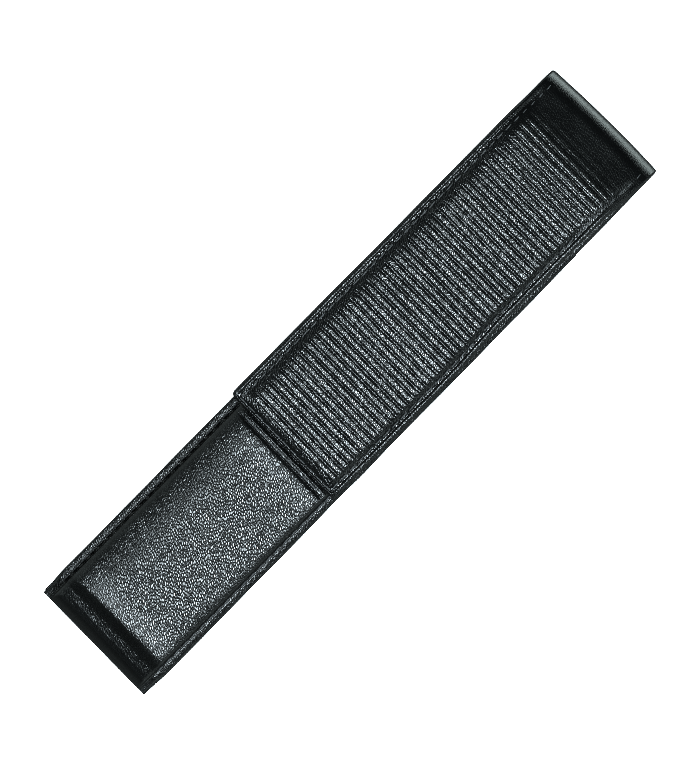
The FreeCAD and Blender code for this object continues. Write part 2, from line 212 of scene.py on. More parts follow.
# --- the strip: flap, fold and back are one leather, s runs along its outside
def strip_table():
    step = 0.05
    pts = []

    def line(a, b):
        k = max(2, int(math.hypot(b[0] - a[0], b[1] - a[1]) / step))
        pts.extend((a[0] + (b[0] - a[0]) * i / k, a[1] + (b[1] - a[1]) * i / k) for i in range(k))

    def arc(c, r, t0, t1):
        k = max(2, int(r * math.radians(abs(t1 - t0)) / step))
        for i in range(k):
            t = math.radians(t0 + (t1 - t0) * i / k)
            pts.append((c[0] + r * math.sin(t), c[1] + r * math.cos(t)))

    line((Y_FREE - 4.0, Z_FLAP), (58.0, Z_FLAP))
    arc((58.0, Z_FLAP - 45.0), 45.0, 0, 16)
    t = math.radians(16)
    a = (58.0 + 45.0 * math.sin(t), Z_FLAP - 45.0 + 45.0 * math.cos(t))
    b = (76.0 + 6.5 * math.sin(t), 7.790 + 6.5 * math.cos(t))
    line(a, b)
    arc((76.0, 7.790), 6.5, 16, 90)
    line((82.5, 7.790), (82.5, 2.6))
    arc((79.9, 2.6), 2.6, 90, 180)
    line((79.9, 0.0), (-80.9, 0.0))
    arc((-80.9, 1.6), 1.6, 180, 270)
    line((-82.5, 1.6), (-82.5, 4.0))
    pts = np.array(pts)
    seg = np.hypot(*np.diff(pts, axis=0).T)
    s = np.concatenate([[0], np.cumsum(seg)]) - 4.0
    even = np.arange(s[0], s[-1], step)
    y, z = np.interp(even, s, pts[:, 0]), np.interp(even, s, pts[:, 1])
    k = np.arange(-36, 37) * step
    w = np.exp(-0.5 * (k / 0.55) ** 2)
    w /= w.sum()

    def soften(v):
        head = v[0] - (v[1] - v[0]) * np.arange(36, 0, -1)
        tail = v[-1] + (v[-1] - v[-2]) * np.arange(1, 37)
        return np.convolve(np.concatenate([head, v, tail]), w, mode="valid")

    y, z = soften(y), soften(z)
    ty, tz = np.gradient(y), np.gradient(z)
    n = np.hypot(ty, tz)
    return even, y, z, -tz / n, ty / n


S_T, Y_T, Z_T, NY_T, NZ_T = strip_table()
S_BACK = 116.72                                   # the flat back starts, y = 79.9
S_END = S_BACK + 160.8 + 1.6 * math.pi / 2 + 0.33   # its turned-up bottom end


def on_strip(s, up):
    """Point at arc length s, lifted by up off the outer face."""
    y, z = np.interp(s, S_T, Y_T), np.interp(s, S_T, Z_T)
    ny, nz = np.interp(s, S_T, NY_T), np.interp(s, S_T, NZ_T)
    return y + up * ny, z + up * nz


def strip_x(s, x):
    """Width of the real strip: a little skewed, pinched on the right below the fold."""
    half = pchip([-5, 0, 37, 48, 55, 83, 95, 106, 118, 130, 300],
                 [16.5, 16.5, 16.43, 16.2, 16.02, 16.0, 16.2, 16.36, 16.4, 16.4, 16.4], s)
    mid = pchip([-5, 0, 37, 48, 55, 83, 95, 106, 118, 140, 300],
                [-0.66, -0.66, -0.6, -0.78, -0.9, -0.9, -0.6, -0.3, -0.15, 0, 0], s)
    f = x / NOM
    wave = 0.07 * np.abs(f) ** 3 * noise(s, np.sign(f) * 9.0, 7.0, 1.0, 11)
    return mid + f * (half + wave)


HEM_D = [0.0, 0.3, 0.5, 0.65, 0.8, 0.95, 1.05, 1.2, 1.35, 1.5, 1.7, 2.0, 2.3, 2.6, 2.9, 3.2, 20.0]
HEM_H = [0.0, 0.0, 0.04, 0.09, 0.115, 0.09, 0.02, -0.15, -0.26, -0.29, -0.27, -0.22, -0.17, -0.11, -0.05, 0.0, 0.0]
PAD_D = [-0.6, 0.0, 0.4, 0.9, 1.4, 2.0, 2.7, 3.5, 5.0, 8.0, 20.0]
PAD_H = [0.0, 0.0, 0.06, 0.17, 0.27, 0.35, 0.405, 0.435, 0.46, 0.48, 0.49]
# one pitch of the ribs: a broad flat-topped rib, then a low narrow one, with sharp grooves between
BROAD = np.array([-1, -0.86, -0.72, -0.55, -0.3, 0, 0.3, 0.55, 0.72, 0.86, 1])
NARROW = np.array([-0.76, -0.5, -0.24, 0, 0.24, 0.5, 0.76, 1])
RIB_W = 0.74
RIB_P = np.concatenate([(BROAD + 1) / 2 * RIB_W, RIB_W + (NARROW + 1) / 2 * (1 - RIB_W)]).tolist()
RIB_H = np.concatenate([0.22 * (1 - BROAD ** 4), 0.08 * (1 - np.abs(NARROW) ** 1.5)]).tolist()


def strip_skew(p):
    return pchip([-5, 0, 4, 12, 40, 96, 104, 300], [0.027, 0.027, 0.026, 0.02, 0.014, 0.014, 0.0, 0.0], p)


def flap_corner(x, p):
    """Round the two free corners of the flap in plan; gives moved x, p and the edge distance."""
    r = 1.1
    dx = NOM - np.abs(x)
    a, b = np.clip(r - dx, 0, r), np.clip(r - p, 0, r)
    a2 = a * np.sqrt(1 - b * b / (2 * r * r))
    b2 = b * np.sqrt(1 - a * a / (2 * r * r))
    corner = (a > 0) & (b > 0)
    dx2 = np.where(corner, r - a2, dx)
    p2 = np.where(corner, r - b2, p)
    edge = np.where(corner, r - np.hypot(a2, b2), np.minimum(dx, p))
    return np.sign(x) * (NOM - dx2), p2, dx2, np.maximum(edge, 0.0)


def flap_droop(x, p):
    return 0.42 * np.clip((np.abs(x) - 10.2) / 6.1, 0, 1) ** 2 * (1 - smooth(88, 100, p))


RIB_GAIN = 1 + 0.13 * np.random.default_rng(31).uniform(-1, 1, N_RIBS + 4)


def fold_swell(x, s):
    """The folded end bows out a little in the middle."""
    return 0.45 * (1 - np.clip(np.abs(x) / NOM, 0, 1) ** 2.4) * smooth(98, 105, s) * (1 - smooth(110, 114.5, s))


def flap_up(x, p):
    """Height of the flap's outer face over the strip's plain outside."""
    x2, p2, dx, edge = flap_corner(x, p)
    fold = 1 - smooth(98.5, 105.0, p)
    hem = pchip(HEM_D, HEM_H, rounded(dx, p2 * 2.0, 2.6)) * (1 - smooth(92.5, 99.5, p))
    in_pad = dx - 1.95 + 0.55 * np.sign(x)                                  # starts nearer the edge on the right
    d_pad = rounded(in_pad, (p2 - 1.1) * 1.4, 1.2)
    front = pchip([-1, 1.0, 1.15, 2.85, 3.1, 200], [0, 0, 0.05, 0.95, 1, 1], p2)
    pad = pchip(PAD_D, PAD_H, in_pad) * front * (1 - smooth(72, 93, p)) - 0.2 * (1 - front)
    ph = (p - RIB0) / RIB
    k = np.clip(np.floor(ph).astype(int), 0, N_RIBS + 3)
    mask = smooth(0.7, 2.0, d_pad) * (1 - smooth(77.0, 98.5, p)) * (ph > 0)
    gain = RIB_GAIN[k] * (1 + 0.16 * noise(x, p, 4.5, 1.9, 12))
    rib = pchip(RIB_P, RIB_H, ph - np.floor(ph)) * mask * gain
    low = 0.07 * noise(x, p, 13.0, 17.0, 13) * smooth(1.0, 5.0, dx) * smooth(1.0, 5.0, p)
    fine = 0.018 * noise(x, p, 2.6, 3.1, 14) * fold
    r = 0.55 + 0.08 * (1 - smooth(0.5, 3.0, p))
    return hem + pad + rib + low + fine - flap_droop(x, p) - lip(edge, r) + fold_swell(x, p), edge, x2, p2


D_COLS = np.array([0, .03, .1, .2, .33, .48, .64, .8, .94, 1.04, 1.12, 1.2, 1.28, 1.36, 1.46, 1.58, 1.74, 1.95, 2.2, 2.45,
                   2.7, 2.9, 3.1, 3.35, 3.65, 4.0, 4.5, 5.2, 6.1, 7.2, 8.4, 9.7, 11.0, 12.3, 13.6, 14.9])


def mirrored(d, half):
    left = -(half - d)
    return np.concatenate([left, [0.0], -left[::-1]])


def build_flap_skin():
    rows = [.01, .03, .07, .13, .21, .31, .42, .54, .66, .78, .88, .97, 1.05, 1.13, 1.21, 1.3, 1.4, 1.52, 1.66,
            1.82, 1.98, 2.12, 2.25, 2.38, 2.5, 2.62]
    grooves = []
    for k in range(N_RIBS):
        grooves += [len(rows) + i for i, h in enumerate(RIB_H[:-1]) if h <= 0]
        rows += [RIB0 + RIB * (k + f) for f in RIB_P[:-1]]
    top_p = rows[-1]
    rows += list(np.arange(top_p + 0.25, S_SPLIT - 0.02, 0.27)) + [S_SPLIT - 0.01]
    p = np.array(rows)
    x = mirrored(D_COLS, NOM)
    P, X = np.meshgrid(p, x, indexing="ij")
    up, edge, X2, P2 = flap_up(X, P)
    S = P2 - strip_skew(P2) * X2 + 0.05 * noise(X, P, 8.0, 15.0, 15) * smooth(0, 6, P) * (1 - smooth(96, 104, P))
    y, z = on_strip(S, up)
    outer = np.stack([strip_x(S, X2), y, z], -1)
    uv_o = np.stack([X2, S], -1)
    calm_o = 0.35 + 0.12 * smooth(2.6, 3.2, P) + 0.33 * smooth(82, 95, P)
    d = np.array([0.05, 0.18, 0.5, 1.5, 3.3, 3.8, 6.0, 11.0])
    xb = mirrored(d, NOM)[::-1]
    P, X = np.meshgrid(p, xb, indexing="ij")
    X2, P2, dx, edge = flap_corner(X, P)
    hollow = 1.22 * smooth(3.35, 3.75, dx) * smooth(3.0, 3.6, P) * (1 - smooth(76.0, 77.5, P))
    up = -SKIN + lip(edge, 0.42) - flap_droop(X, P) + hollow + fold_swell(X, P)
    S = P2 - strip_skew(P2) * X2
    y, z = on_strip(S, up)
    inner = np.stack([strip_x(S, X2), y, z], -1)
    uv_i = np.stack([X2 + 60, S], -1)
    calm = np.concatenate([calm_o, 0.5 + 0 * P], 1)
    return shell("flap_skin", np.concatenate([outer, inner], 1), np.concatenate([uv_o, uv_i], 1), calm, grooves, outer.shape[1])


def back_up(x, s):
    """Height of the back's outer face: flat, with a sewn groove inside each long edge."""
    dx = NOM - np.abs(x)
    sewn = smooth(117, 121, s) * (1 - smooth(S_END - 6, S_END - 3, s))
    r = 0.53 + 0.41 * smooth(115, 121, s)
    groove = -0.26 * np.exp(-0.5 * ((dx - 1.4) / 0.28) ** 2) * sewn
    roll = -0.10 * np.exp(-0.5 * ((dx - 2.1) / 0.5) ** 2) * sewn
    fine = (0.02 * noise(x, s, 2.6, 3.1, 21) - 0.02) * smooth(117, 121, s)
    wide = 0.09 * (noise(x, s, 12.0, 16.0, 22) - 1) * smooth(1.5, 6.0, dx) * smooth(117, 124, s)
    return groove + roll + fine + wide - lip(dx, r) + fold_swell(x, s), dx, r


def build_back_skin():
    p = np.concatenate([np.arange(S_SPLIT + 0.01, 124.0, 0.22), np.arange(124.0, S_END - 6, 1.1),
                        np.linspace(S_END - 6, S_END, 34)])
    x = mirrored(np.array([0, .03, .08, .16, .27, .4, .55, .72, .9, 1.05, 1.2, 1.35, 1.5, 1.65, 1.85, 2.1, 2.4, 2.8,
                           3.4, 4.2, 5.2, 6.5, 8.0, 9.6, 11.3, 13.0, 14.7]), NOM)
    S, X = np.meshgrid(p, x, indexing="ij")
    up, dx, r = back_up(X, S)
    y, z = on_strip(S, up)
    y = y - 0.02 * X * smooth(S_END - 16, S_END, S)
    outer = np.stack([strip_x(S, X), y, z], -1)
    uv_o = np.stack([X, S], -1)
    calm_o = 0 * S
    xb = mirrored(np.array([0.06, 0.2, 0.5, 0.95, 2.15, 2.45, 6.0, 11.0]), NOM)[::-1]
    S, X = np.meshgrid(p, xb, indexing="ij")
    dx = NOM - np.abs(X)
    r = 0.53 + 0.41 * smooth(115, 121, S)
    rim = (1 - smooth(2.2, 2.4, dx)) * smooth(115, 121, S) * (1 - smooth(S_END - 2.4, S_END - 2.0, S))
    up = -SKIN - (RIM - SKIN) * rim + lip(dx, r) + fold_swell(X, S)
    y, z = on_strip(S, up)
    y = y - 0.02 * X * smooth(S_END - 16, S_END, S)
    inner = np.stack([strip_x(S, X), y, z], -1)
    uv_i = np.stack([X + 60, S], -1)
    calm = np.concatenate([calm_o, 0.5 + 0 * S], 1)
    return shell("back_skin", np.concatenate([outer, inner], 1), np.concatenate([uv_o, uv_i], 1), calm)


# --- linings of the strip ----------------------------------------------------
def build_strip_lining(name, s0, s1, inset, out):
    """Thin lining inside the strip; out(s) is its outer face's height."""
    n = int((s1 - s0) / 0.8) + 2
    p = np.linspace(s0, s1, n)
    if s1 > 200:
        p = np.concatenate([np.linspace(s0, 126, 60), np.linspace(127, s1, 90)])
    d = np.array([0, .05, .15, .3, .6, 1.2, 2.4, 4.5, 7.0, 9.5, 12.0, 14.0])
    half = NOM - inset
    xo, xi = mirrored(d, half), mirrored(d[1:], half)[::-1]
    parts, uvs = [], []
    for x, inner in ((xo, False), (xi, True)):
        S, X = np.meshgrid(p, x, indexing="ij")
        dx = half - np.abs(X)
        de = np.minimum(dx, np.minimum(S - s0, s1 - S) + 0.02)
        body = out(S, X)
        swell = 0.05 * noise(X, S, 6.0, 9.0, 41) * smooth(0, 3, dx)
        up = body - lip(de, LIN / 2) if not inner else body - LIN + lip(de, LIN / 2) + swell
        SS = S - strip_skew(S) * X
        y, z = on_strip(SS, up)
        parts.append(np.stack([strip_x(SS, X), y, z], -1))
        uvs.append(np.stack([X + (60 if inner else 0), S], -1))
    return shell(name, np.concatenate(parts, 1), np.concatenate(uvs, 1))


# --- the front: hem, wall, shoulder and top as one section --------------------
SECTION = np.array([(16.4, 0), (16.0, 0), (15.5, 0), (15.0, 0), (14.72, 0), (14.52, .008), (14.40, .030),
                    (14.34, .07), (14.31, .15), (14.29, .34), (14.24, .56), (14.12, .72), (13.9, .80),
                    (13.55, .855), (13.05, .893), (12.4, .922), (11.6, .946), (10.6, .965), (9.2, .982), (7.2, .994),
                    (4.5, .999), (0, 1.0)])


def half_section(height, steps):
    """x, height fraction and arc length from the hem's edge to the middle."""
    x, g = SECTION.T
    l = np.concatenate([[0], np.cumsum(np.hypot(np.diff(x), np.diff(g) * height))])
    at = []
    for a, b, n in steps:
        at += list(np.linspace(np.interp(-a, -x, l), np.interp(-b, -x, l), n, endpoint=False))
    at = np.array(at + [l[-1]])
    at[0] = 0.0
    return pchip(l, x, at), pchip(l, g, at), l[-1] - at


END_D = [0, .3, 1.1, 2.0, 2.7, 3.2, 3.7, 4.2, 4.7, 5.2, 5.9, 6.7, 7.4, 7.85, 8.2, 8.5, 8.9, 9.6, 11, 90]
END_G = [0, .14, .368, .559, .645, .674, .6895, .7035, .716, .729, .757, .827, .904, .954, .976, .9875, .994, .998, 1, 1]
TOP_Q = [0, .3, .5, .68, .85, 1.0, 1.35, 1.52, 1.68, 1.84, 2.05, 2.4, 3.0, 4.5, 7.0, 90]
TOP_Z = [-.52, -.49, -.47, -.48, -.60, -.64, -.64, -.78, -1.05, -.86, -.45, -.15, -.05, -.01, 0, 0]
LOW_LEN = 82.5 + Y_SEAM


def side_hem(x, y, seed):
    """Rolled edge and sewn groove along a side hem."""
    d = HEM - np.abs(x)
    roll = 0.03 * np.exp(-0.5 * ((d - 0.8) / 0.3) ** 2)
    groove = -(0.18 + 0.03 * np.sign(x)) * np.exp(-0.5 * ((d - 1.55) / 0.13) ** 2)
    wave = 0.05 * noise(y, np.sign(x) * 5.0, 5.0, 1.0, seed)
    return (roll + groove + wave) * (1 - smooth(2.0, 2.4, d))


def hem_tilt(x, d=99.0):
    """The right hem leans outwards, and both do at the closed end."""
    return np.clip((np.abs(x) - 14.3) / 2.1, 0, 1) ** 1.1 * np.where(x > 0, 0.95 + 0.05 * (1 - smooth(3.5, 6.5, d)), 0.3 + 0.6 * (1 - smooth(3.5, 6.5, d)))


def hem_drop(x, d):
    """The hems sink towards the closed end."""
    u = np.maximum(6.2 - d, 0)
    return 0.12 * u * u / (u + 1.2) * smooth(13.9, 14.4, np.abs(x)) * (1 - 0.6 * smooth(15.0, 16.4, np.abs(x)))


def wall_shift(x):
    """The left wall stands further in, behind a wider hem."""
    return 0.35 * smooth(-15.3, -14.3, x) * (1 - smooth(-11.5, -3.0, x))


def hem_edge(x, y, seed):
    """A slightly wavy outer edge."""
    f = smooth(14.4, 16.4, np.abs(x))
    wide = 0.2 + 0.07 * np.sign(x) - 0.32 * (1 - smooth(-82.5, -75.5, y)) - 0.1 * smooth(10, 50, y)
    return np.sign(x) * f * (wide + 0.10 * noise(y, np.sign(x) * 3.0, 9.0, 1.0, seed))


def end_height(x, q):
    d = LOW_LEN - q
    arch = 0.35 * np.clip(np.abs(x) / 14.0, 0, 1.15) ** 2 * np.sin(math.pi * np.clip(d / 9.5, 0, 1))
    return pchip(END_D, END_G, d + arch), d


def low_y(x, q):
    """Place along the sleeve; both ends of the panel run slightly askew, and its top edge meets the flap."""
    y = Y_SEAM - q + 0.38 * (1 - smooth(2, 14, q)) - 0.027 * x * (1 - smooth(0, 16, q)) - 0.02 * x * smooth(44, LOW_LEN, q)
    return y - 0.22 * smooth(14.3, 14.9, np.abs(x)) * smooth(LOW_LEN - 3, LOW_LEN, q)


def low_place(x, g, q):
    """Outer face of the lower front for section point (x, g) at q below its top edge."""
    ge, d = end_height(x, q)
    crown = smooth(0.80, 0.96, g)
    top = pchip(TOP_Q, TOP_Z, q) * crown
    g = 1 - (1 - g) * (1 - (0.4 + 0.38 * np.sign(x)) * smooth(0.55, 0.85, g))      # fuller on the right
    z = Z_HEM + H_LOW * g * ge + top + 0.16 * crown * np.sin(math.pi * np.clip(q / LOW_LEN, 0, 1)) * ge
    z = z - lip(q + 0.01, 0.75) * smooth(0.02, 0.3, g)
    z = z + 0.10 * noise(x, q, 11.0, 13.0, 51) * crown * smooth(2.5, 8, q) * smooth(7.5, 12, d)
    z = z + 0.025 * noise(x, q, 2.4, 2.8, 52) * crown
    end = (1 - smooth(5.2, 7.4, d)) * smooth(0.2, 1.6, d) * smooth(0.3, 0.8, g)
    z = z + end * (0.035 * noise(x, d, 2.6, 0.8, 53) + 0.01 * noise(x, d, 0.8, 0.5, 54))
    ridge = d - 3.95 + 0.012 * x - 0.16 * noise(x, 0 * x, 5.0, 1.0, 57)
    z = z + end * (0.04 * np.exp(-0.5 * (ridge / 0.2) ** 2) + 0.018 * np.exp(-0.5 * ((ridge + 0.85) / 0.22) ** 2))
    z = z + side_hem(x, q, 55) * smooth(3.6, 6.4, d) - lip(HEM - np.abs(x), 0.45 + 0.6 * (1 - smooth(3.0, 7.5, d))) - hem_tilt(x, d) - hem_drop(x, d)
    y = low_y(x, q)
    return x + hem_edge(x, y, 56) + wall_shift(x), y, z


def low_calm(q):
    """Leather pulled tight at the two ends of the pad, and pressed flat in the hem."""
    d = LOW_LEN - q
    end = 0.7 * (1 - smooth(4.6, 5.6, d))
    return 0.3 * smooth(1.6, 2.2, q) * (1 - smooth(4, 10, q)) + 0.4 * smooth(7.4, 8.4, d) * (1 - smooth(10, 17, d)) + 0.45 * (1 - smooth(1.4, 1.9, q)) + end


def build_front_lower():
    steps = [(16.4, 15.9, 9), (15.9, 14.72, 20), (14.72, 14.31, 10), (14.31, 14.12, 12), (14.12, 11.6, 22),
             (11.6, 9.2, 7), (9.2, 0, 22)]
    xh, gh, lh = half_section(H_LOW, steps)
    x = np.concatenate([-xh, xh[::-1][1:]])
    g = np.concatenate([gh, gh[::-1][1:]])
    l = np.concatenate([-lh, lh[::-1][1:]])
    q = np.concatenate([[0, .03, .08, .15, .24, .34, .45], np.arange(0.56, 3.4, 0.11), np.arange(3.5, 7, 0.3),
                        np.arange(7, LOW_LEN - 10, 0.55), np.linspace(LOW_LEN - 10, LOW_LEN, 66)])
    Q, X = np.meshgrid(q, x, indexing="ij")
    G = np.broadcast_to(g, Q.shape)
    ox, oy, oz = low_place(X, G, Q)
    outer = np.stack([ox, oy, oz], -1)
    calm_o = np.maximum(low_calm(Q), 0.5 * smooth(14.4, 14.8, np.abs(X)))
    mid = outer[:, len(xh) - 1]
    v = np.concatenate([[0], np.cumsum(np.linalg.norm(np.diff(mid, axis=0), axis=1))])
    uv_o = np.stack([np.broadcast_to(l, Q.shape), np.broadcast_to(-v[:, None], Q.shape)], -1)
    ih = [(16.36, 2.2), (16.2, 2.07), (15.8, 2.02), (14.4, 2.0), (13.0, 2.02), (12.92, 2.8), (12.9, 6.0), (12.88, 10.0),
          (12.6, 13.0), (11.8, 14.6), (10.4, 15.5), (8.0, 15.9), (4.0, 16.0)]
    ip = np.array(ih + [(0, 16.0)] + [(-a, b) for a, b in ih[::-1]])
    Q, X = np.meshgrid(q, ip[:, 0], indexing="ij")
    ge, d = end_height(X, np.minimum(Q + 1.4, LOW_LEN))
    flat = np.broadcast_to(ip[:, 1], Q.shape)
    z = np.where(np.abs(X) > 13.01, flat, 2.02 + (flat - 2.02) * ge)
    z = z + lip(Q + 0.01, 0.5) * 0.6 * (np.abs(X) < 12.95)
    y = low_y(X, Q)
    inner = np.stack([X + hem_edge(X, y, 56), y, z], -1)
    uv_i = np.stack([X + 90, np.broadcast_to(v[:, None], Q.shape)], -1)
    calm = np.concatenate([calm_o, 0.5 + 0 * Q], 1)
    return shell("front_lower_skin", np.concatenate([outer, inner], 1), np.concatenate([uv_o, uv_i], 1), calm)


def build_front_upper():
    steps = [(16.4, 15.9, 9), (15.9, 14.72, 20), (14.72, 14.31, 10), (14.31, 14.12, 8), (14.12, 11.6, 16),
             (11.6, 9.2, 5), (9.2, 0, 9)]
    xh, gh, lh = half_section(H_UP, steps)
    x = np.concatenate([-xh, xh[::-1][1:]])
    g = np.concatenate([gh, gh[::-1][1:]])
    l = np.concatenate([-lh, lh[::-1][1:]])
    q = np.concatenate([np.linspace(0, 60, 61), np.linspace(60.6, 77.78, 40)])      # from the seam up
    Q, X = np.meshgrid(q, x, indexing="ij")
    G = np.broadcast_to(g, Q.shape)
    crown = smooth(0.80, 0.96, G)
    y = Y_SEAM + 0.02 + Q - 0.027 * X * (1 - smooth(0, 16, Q))
    z = Z_HEM + H_UP * G + 0.12 * noise(X, Q, 9.0, 12.0, 61) * crown + 0.03 * noise(X, Q, 2.6, 3.0, 62) * crown
    z = z - 0.16 * np.exp(-0.5 * ((Y_MOUTH - 1.4 - y) / 0.3) ** 2) * crown
    z = z - 0.25 * crown + side_hem(X, y, 55) - lip(HEM - np.abs(X), 0.45) - hem_tilt(X)
    outer = np.stack([X + hem_edge(X, y, 56), y, z], -1)
    uv_o = np.stack([np.broadcast_to(l, Q.shape), Q + 80], -1)
    calm_o = 0.5 * smooth(14.4, 14.8, np.abs(X))
    ih = [(16.36, 2.2), (16.2, 2.07), (15.8, 2.02), (14.4, 2.0), (13.0, 2.02), (12.92, 2.8), (12.9, 6.0), (12.88, 10.0),
          (12.6, 12.2), (11.8, 13.6), (10.4, 14.4), (8.0, 14.75), (4.0, 14.8)]
    ip = np.array(ih + [(0, 14.8)] + [(-a, b) for a, b in ih[::-1]])
    Q, X = np.meshgrid(q, ip[:, 0], indexing="ij")
    y = Y_SEAM + 0.02 + Q - 0.027 * X * (1 - smooth(0, 16, Q))
    inner = np.stack([X + hem_edge(X, y, 56), y, np.broadcast_to(ip[:, 1], Q.shape)], -1)
    uv_i = np.stack([X + 90, Q + 80], -1)
    calm = np.concatenate([calm_o, 0.5 + 0 * Q], 1)
    return shell("front_upper_skin", np.concatenate([outer, inner], 1), np.concatenate([uv_o, uv_i], 1), calm)


def section_path(height, off, x_from):
    """Points along the front's section, moved inwards by off."""
    x, g, _ = half_section(height, [(x_from, 14.31, 8), (14.31, 14.12, 14), (14.12, 11.6, 20), (11.6, 9.2, 6), (9.2, 0, 10)])
    x[0], g[0] = x_from, np.interp(-x_from, -SECTION[:, 0], SECTION[:, 1])
    x = np.concatenate([-x, x[::-1][1:]])
    z = Z_HEM + height * np.concatenate([g, g[::-1][1:]])
    tx, tz = np.gradient(x), np.gradient(z)
    n = np.hypot(tx, tz)
    return x + off * tz / n, z - off * tx / n, -tz / n, tx / n


def build_mouth_roll():
    x, z, nx, nz = section_path(H_UP, 0.86, 14.5)
    th = np.linspace(0, 2 * math.pi, 18, endpoint=False)
    c, s = np.cos(th), np.sin(th)
    a = np.sign(c) * np.abs(c) ** 0.8 * 0.62
    b = np.sign(s) * np.abs(s) ** 0.8 * 1.02
    k = np.arange(len(x))[:, None]
    run = np.concatenate([[0], np.cumsum(np.hypot(np.diff(x), np.diff(z)))])[:, None]
    b = b[None, :] * (1 + 0.05 * noise(run, 0 * run, 3.0, 1.0, 71))
    z = z - 0.25 * smooth(14.0, 15.5, z)
    rows = np.stack([x[:, None] + b * nx[:, None], Y_MOUTH + 0.34 + a[None, :] + 0 * k, z[:, None] + b * nz[:, None]], -1)
    uv = np.stack([np.broadcast_to(run, rows.shape[:2]), np.broadcast_to(th * 0.7, rows.shape[:2])], -1)
    return shell("mouth_roll", rows, uv)


def build_front_lining():
    """Lining trough of the whole front, closed at the bottom end."""
    x, z, nx, nz = section_path(H_UP, 1.28, 14.5)
    keep = z > 2.9
    x, z, nx, nz = x[keep], z[keep], nx[keep], nz[keep]
    z = z - 0.25 * smooth(12.5, 14.0, z)
    xi, zi = x - LIN * nx, z - LIN * nz
    loop_x, loop_z = np.concatenate([x, xi[::-1]]), np.concatenate([z, zi[::-1]])
    y = np.concatenate([np.linspace(-80.2, -70, 24), np.linspace(-69, 50, 60), np.linspace(51, Y_MOUTH + 0.1, 8)])
    Y, X = np.meshgrid(y, loop_x, indexing="ij")
    ge = pchip([-80.2, -79.6, -78.5, -77.2, -76, -74.6, -72.5, -70, 80], [.08, .26, .52, .74, .87, .955, .993, 1, 1], Y)
    Z = 2.6 + (np.broadcast_to(loop_z, Y.shape) - 2.6) * ge
    Z = Z + 0.06 * noise(X, Y, 5.0, 7.0, 72) * smooth(6, 12, Z)
    rows = np.stack([X, Y, Z], -1)
    l = np.concatenate([[0], np.cumsum(np.hypot(np.diff(loop_x), np.diff(loop_z)))])
    uv = np.stack([np.broadcast_to(l, Y.shape), Y], -1)
    return shell("front_lining_trough", rows, uv), l[len(x) - 1]


def build_slab(name, xs, ys, low, high, seed):
    """A soft slab between two height functions, with pinched, rounded sides."""
    loop = np.concatenate([xs, xs[::-1][1:-1]])
    Y, X = np.meshgrid(ys, loop, indexing="ij")
    n = len(xs)
    half_x, y0, y1 = xs.max(), ys.min(), ys.max()
    e = np.minimum(np.minimum(half_x - np.abs(X), Y - y0), y1 - Y) + 0.02
    lo, hi = low(X, Y), high(X, Y) + 0.05 * noise(X, Y, 2.5, 2.5, seed) * smooth(0, 2, e)
    mid = (lo + hi) / 2
    f = np.sqrt(np.clip(1 - (1 - np.clip(e / 0.9, 0, 1)) ** 2, 0.02, 1))
    upper = np.arange(len(loop))[None, :] < n
    Z = np.where(upper, mid + (hi - mid) * f, mid + (lo - mid) * f)
    rows = np.stack([X, Y, Z], -1)
    return shell(name, rows, np.stack([X, Y], -1))


# --- materials ---------------------------------------------------------------
class Graph:
    def __init__(self, name):
        self.mat = bpy.data.materials.new(name)
        self.mat.use_nodes = True
        self.tree = self.mat.node_tree
        self.tree.nodes.clear()
        self.out = self.tree.nodes.new("ShaderNodeOutputMaterial")

    def add(self, kind, props=None, **sockets):
        node = self.tree.nodes.new("ShaderNode" + kind)
        for key, value in (props or {}).items():
            setattr(node, key, value)
        for key, value in sockets.items():
            self.put(node, key.replace("_", " "), value)
        return node

    def put(self, node, key, value):
        socket = node.inputs[int(key)] if key.isdigit() else node.inputs[key]
        if isinstance(value, bpy.types.NodeSocket):
            self.tree.links.new(value, socket)
        else:
            socket.default_value = value

    def math(self, op, a, b=None, clamp=False):
        node = self.add("Math", {"operation": op, "use_clamp": clamp})
        self.put(node, "0", a)
        if b is not None:
            self.put(node, "1", b)
        return node.outputs[0]

    def vec(self, op, a, b=None, scale=None):
        node = self.add("VectorMath", {"operation": op})
        self.put(node, "0", a)
        if b is not None:
            self.put(node, "1", b)
        if scale is not None:
            node.inputs["Scale"].default_value = scale
        return node.outputs[0]

    def ramp(self, value, a, b, c, d, kind="SMOOTHSTEP"):
        node = self.add("MapRange", {"interpolation_type": kind, "clamp": True})
        for key, v in zip(("Value", "From Min", "From Max", "To Min", "To Max"), (value, a, b, c, d)):
            self.put(node, key, v)
        return node.outputs[0]

    def mix(self, fac, a, b):
        node = self.add("Mix", {"data_type": "RGBA"})
        self.put(node, "Factor", fac)
        node.inputs[6].default_value = (*a, 1)
        node.inputs[7].default_value = (*b, 1)
        return node.outputs[2]

    def noise(self, vector, scale, detail=2.0, rough=0.5):
        node = self.add("TexNoise", {"noise_dimensions": "3D"}, Vector=vector, Scale=scale, Detail=detail, Roughness=rough)
        return node

    def surface(self, shader):
        self.tree.links.new(shader, self.out.inputs["Surface"])
        return self.mat


